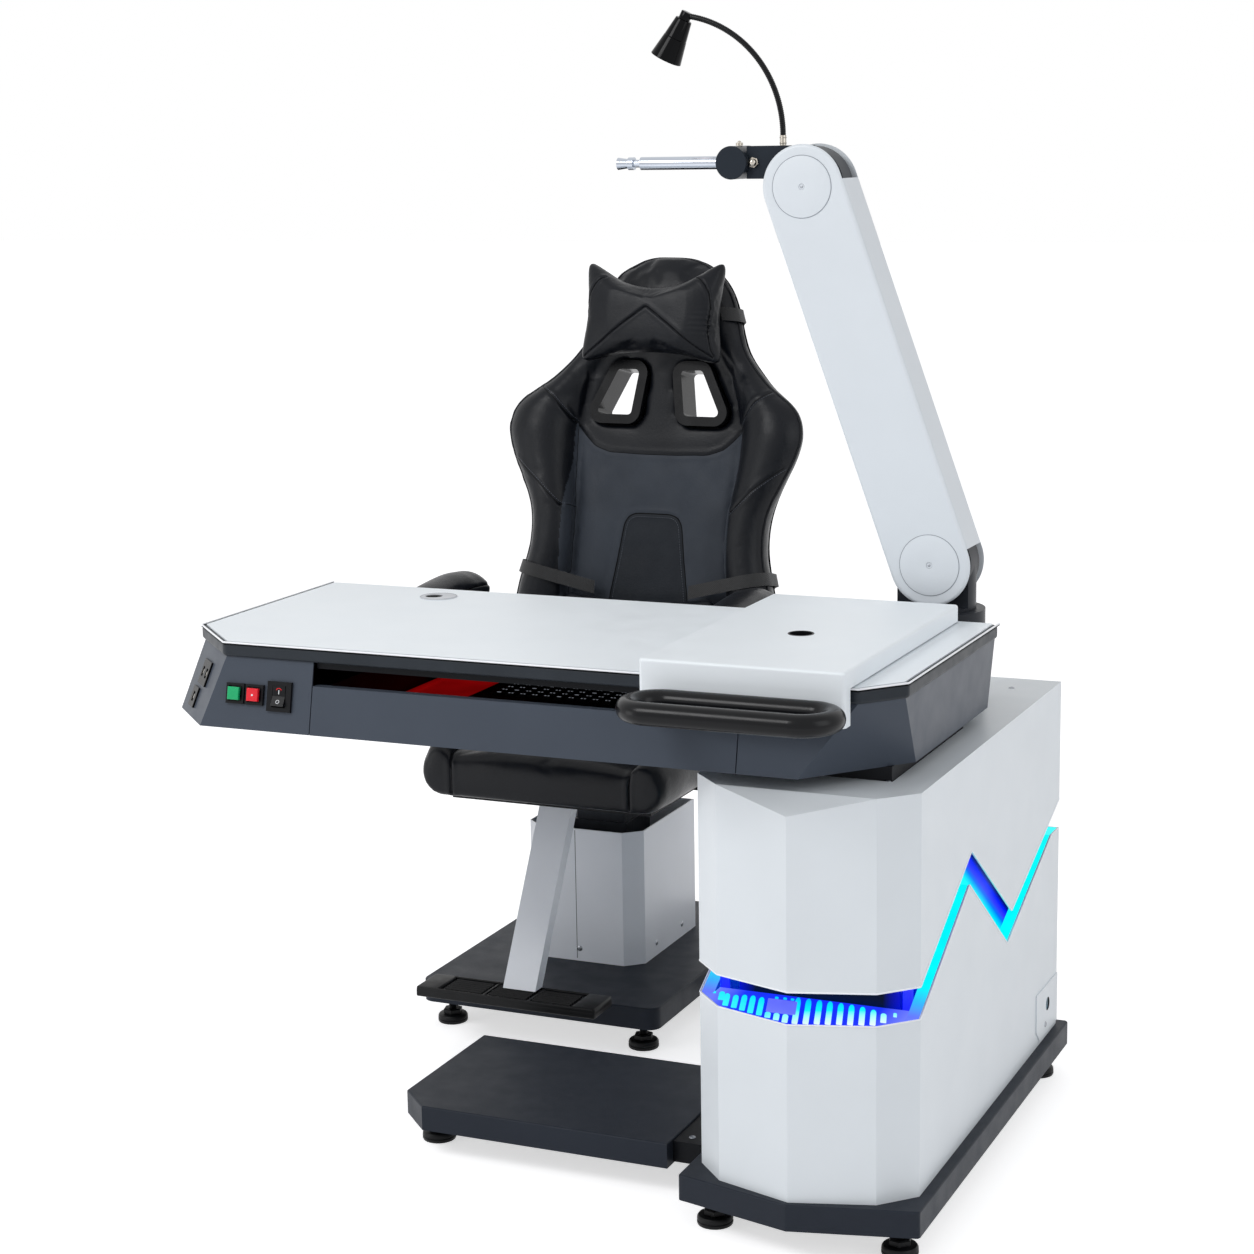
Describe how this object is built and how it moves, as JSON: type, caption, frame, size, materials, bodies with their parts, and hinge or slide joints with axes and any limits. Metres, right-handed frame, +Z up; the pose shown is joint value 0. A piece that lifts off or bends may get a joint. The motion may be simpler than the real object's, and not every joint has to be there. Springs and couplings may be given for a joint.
{
  "type": "ophthalmic examination unit with chair",
  "caption": "Eye examination unit: slate table with drawer on a lit white column, lifting instrument arm with lamp, and a lift chair with footrest",
  "frame": {"origin": "middle of the overall floor area, on the floor, z = 0 under the feet", "axes": "+Z up; +Y from the examiner's side of the table towards the chair's back; +X along the table from the chair side to the column side"},
  "size_m": [1.2022, 1.4364, 1.7061],
  "materials": {
    "white_sheet": "satin powder coat",
    "slate_sheet": "satin powder coat",
    "navy_plate": "fine textured powder coat",
    "white_board": "white laminate on board, smooth matt",
    "slate_band": "satin moulded edge",
    "core_steel": "dark primer",
    "light_panel": "lit diffuser",
    "black_plastic": "satin",
    "grey_plastic": "satin",
    "black_rubber": "matt",
    "black_metal": "satin anodised",
    "dark_post": "satin powder coat",
    "white_arm": "satin powder coat",
    "chrome": "polished",
    "steel": "brushed",
    "nylon": "matt",
    "red_mat": "matt",
    "green_cap": "translucent gloss",
    "red_cap": "translucent gloss",
    "lens": "frosted",
    "black_leather": "soft satin synthetic leather",
    "black_webbing": "woven webbing",
    "light_grey_sheet": "satin powder coat",
    "board_shell": "ply shell under synthetic leather"
  },
  "bodies": {
    "frame": {"column_base_plate": "navy_plate", "column_lower_housing": "white_sheet", "column_upper_housing": "white_sheet", "column_core": "core_steel", "led_ledge": "core_steel", "led_panel": "light_panel", "power_supply": "black_plastic", "cable_port_plate": "white_sheet", "housing_screws": "steel", "levelling_feet": "black_rubber", "extension_plate": "navy_plate", "base_links": "navy_plate", "table_body": "slate_sheet", "control_bezels": "black_plastic", "socket_outlets": "black_plastic", "tabletop": "white_board", "edge_band": "slate_band", "table_grommet": "grey_plastic", "table_rails": "steel", "post_bearing": "dark_post", "chair_base_plate": "navy_plate", "chair_column_housing": "white_sheet", "lift_column": "core_steel"},
    "drawer": {"drawer_front": "slate_sheet", "drawer_box": "black_plastic", "drawer_mat": "red_mat", "drawer_keypad": "black_plastic"},
    "green_button": {"green_button": "green_cap"},
    "red_button": {"red_button": "red_cap"},
    "power_rocker": {"power_rocker": "black_plastic"},
    "tray": {"instrument_tray": "white_sheet", "tray_handle": "black_metal", "tray_glides": "nylon"},
    "post": {"arm_post": "dark_post"},
    "arm": {"arm_shell": "white_arm", "pivot_covers": "white_arm"},
    "levelling_rod": {"levelling_rod": "steel"},
    "head": {"head_bracket": "black_metal"},
    "knuckle": {"knuckle_barrel": "black_metal"},
    "rod": {"instrument_rod": "chrome"},
    "clamp": {"clamp_screw": "chrome"},
    "lamp": {"lamp_ferrule": "chrome", "lamp_gooseneck": "black_rubber", "lamp_head": "black_plastic", "lamp_lens": "lens"},
    "seat": {"lift_inner_tube": "core_steel", "seat_pan": "dark_post", "seat_cushion": "black_leather", "footrest_leg": "light_grey_sheet", "footrest_plate": "black_metal", "armrest_posts": "dark_post", "recliner_plates": "dark_post"},
    "left_armrest": {"left_armrest": "black_leather"},
    "right_armrest": {"right_armrest": "black_leather"},
    "backrest": {"backrest_shell": "board_shell", "backrest_cushion": "black_leather", "opening_frames": "black_plastic", "head_pillow": "black_leather", "lumbar_pillow": "black_leather", "backrest_straps": "black_webbing"}
  },
  "joints": [
    {"name": "drawer_slide", "type": "slide", "parent": "frame", "child": "drawer", "axis": [0, -1, 0], "range_m": [0, 0.26]},
    {"name": "green_button_press", "type": "slide", "parent": "frame", "child": "green_button", "axis": [0, 0.9781, -0.2079], "range_m": [0, 0.004], "stiffness_N_per_m": 400},
    {"name": "red_button_press", "type": "slide", "parent": "frame", "child": "red_button", "axis": [0, 0.9781, -0.2079], "range_m": [0, 0.004], "stiffness_N_per_m": 400},
    {"name": "power_rocker_tilt", "type": "hinge", "parent": "frame", "child": "power_rocker", "pos_m": [-0.36941, -0.58, 0.7255], "axis": [1, 0, 0], "range_deg": [0, 16]},
    {"name": "tray_slide", "type": "slide", "parent": "frame", "child": "tray", "axis": [-1, 0, 0], "range_m": [0, 0.52]},
    {"name": "post_swivel", "type": "hinge", "parent": "frame", "child": "post", "pos_m": [0.44209, 0.00766, 0.803], "axis": [0, 0, 1], "range_deg": [-15, 90]},
    {"name": "arm_lift", "type": "hinge", "parent": "post", "child": "arm", "pos_m": [0.44209, 0.00766, 0.874], "axis": [0, -1, 0], "range_deg": [-14, 30]},
    {"name": "levelling_rod_swing", "type": "hinge", "parent": "post", "child": "levelling_rod", "pos_m": [0.47409, 0.00766, 0.874], "axis": [0, -1, 0], "range_deg": [-15, 31]},
    {"name": "head_level", "type": "hinge", "parent": "arm", "child": "head", "pos_m": [0.23983, 0.00766, 1.43888], "axis": [0, -1, 0], "range_deg": [-31, 15]},
    {"name": "knuckle_tilt", "type": "hinge", "parent": "head", "child": "knuckle", "pos_m": [0.12483, 0.00766, 1.47538], "axis": [0, -1, 0], "range_deg": [-15, 15]},
    {"name": "rod_spin", "type": "hinge", "parent": "knuckle", "child": "rod", "pos_m": [0.12483, 0.00766, 1.47538], "axis": [1, 0, 0], "range_deg": [-90, 90]},
    {"name": "clamp_turn", "type": "hinge", "parent": "knuckle", "child": "clamp", "pos_m": [0.12483, 0.00766, 1.50038], "axis": [0, 0, 1], "continuous": true},
    {"name": "lamp_swivel", "type": "hinge", "parent": "head", "child": "lamp", "pos_m": [0.19583, 0.00766, 1.49988], "axis": [0, 0, 1], "range_deg": [-150, 150]},
    {"name": "seat_lift", "type": "slide", "parent": "frame", "child": "seat", "axis": [0, 0, 1], "range_m": [0, 0.2]},
    {"name": "left_armrest_flip", "type": "hinge", "parent": "seat", "child": "left_armrest", "pos_m": [-0.55491, 0.34766, 0.68], "axis": [-1, 0, 0], "range_deg": [0, 80]},
    {"name": "right_armrest_flip", "type": "hinge", "parent": "seat", "child": "right_armrest", "pos_m": [0.01109, 0.34766, 0.68], "axis": [-1, 0, 0], "range_deg": [0, 80]},
    {"name": "backrest_recline", "type": "hinge", "parent": "seat", "child": "backrest", "pos_m": [-0.27191, 0.53366, 0.455], "axis": [-1, 0, 0], "range_deg": [0, 45]}
  ],
  "couplings": [
    {"joint": "levelling_rod_swing", "follows": "arm_lift", "ratio": 1},
    {"joint": "head_level", "follows": "arm_lift", "ratio": -1}
  ]
}
